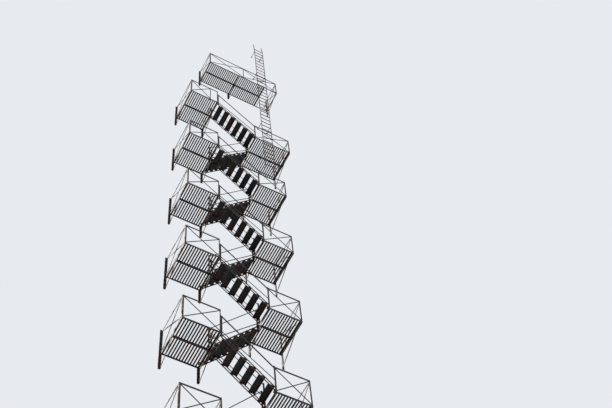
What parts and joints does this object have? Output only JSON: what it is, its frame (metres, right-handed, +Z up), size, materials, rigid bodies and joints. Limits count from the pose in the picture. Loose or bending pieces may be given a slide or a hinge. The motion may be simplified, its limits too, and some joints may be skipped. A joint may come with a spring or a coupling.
{
  "type": "fire escape stair tower",
  "caption": "Open iron fire escape for a wall: slatted balconies and half landings joined by steep zigzag flights, with a top platform and a roof ladder.",
  "frame": {"origin": "on the back face of the lowest balcony's left wall angle, at the height of that balcony's walking surface", "axes": "+Z up, +Y into the wall that the wall angles stand against, +X along the wall from the balconies to the half landings"},
  "size_m": [3.565, 1.092, 29.243],
  "materials": {
    "painted_iron": "old black paint, worn and rusted in places"
  },
  "bodies": {
    "root": {"balcony_1_deck": "painted_iron", "balcony_2_deck": "painted_iron", "balcony_3_deck": "painted_iron", "balcony_4_deck": "painted_iron", "balcony_5_deck": "painted_iron", "balcony_6_deck": "painted_iron", "balcony_brackets": "painted_iron", "balcony_end_frames": "painted_iron", "balcony_end_guards": "painted_iron", "balcony_front_railings": "painted_iron", "deck_middle_bars": "painted_iron", "drop_ladder": "painted_iron", "landing_1_deck": "painted_iron", "landing_2_deck": "painted_iron", "landing_3_deck": "painted_iron", "landing_4_deck": "painted_iron", "landing_5_deck": "painted_iron", "landing_brackets": "painted_iron", "landing_end_frames": "painted_iron", "landing_front_railings": "painted_iron", "roof_ladder": "painted_iron", "roof_ladder_standoffs": "painted_iron", "roof_ladder_tops": "painted_iron", "storey_1_lower_sides": "painted_iron", "storey_1_treads": "painted_iron", "storey_1_upper_sides": "painted_iron", "storey_2_lower_sides": "painted_iron", "storey_2_treads": "painted_iron", "storey_2_upper_sides": "painted_iron", "storey_3_lower_sides": "painted_iron", "storey_3_treads": "painted_iron", "storey_3_upper_sides": "painted_iron", "storey_4_lower_sides": "painted_iron", "storey_4_treads": "painted_iron", "storey_4_upper_sides": "painted_iron", "storey_5_lower_sides": "painted_iron", "storey_5_treads": "painted_iron", "storey_5_upper_sides": "painted_iron", "top_platform_deck": "painted_iron", "top_platform_end_frames": "painted_iron", "top_platform_front_railing": "painted_iron", "top_platform_hatch_bars": "painted_iron", "top_platform_ladder_clips": "painted_iron", "top_platform_middle_bracket": "painted_iron"}
  },
  "joints": []
}
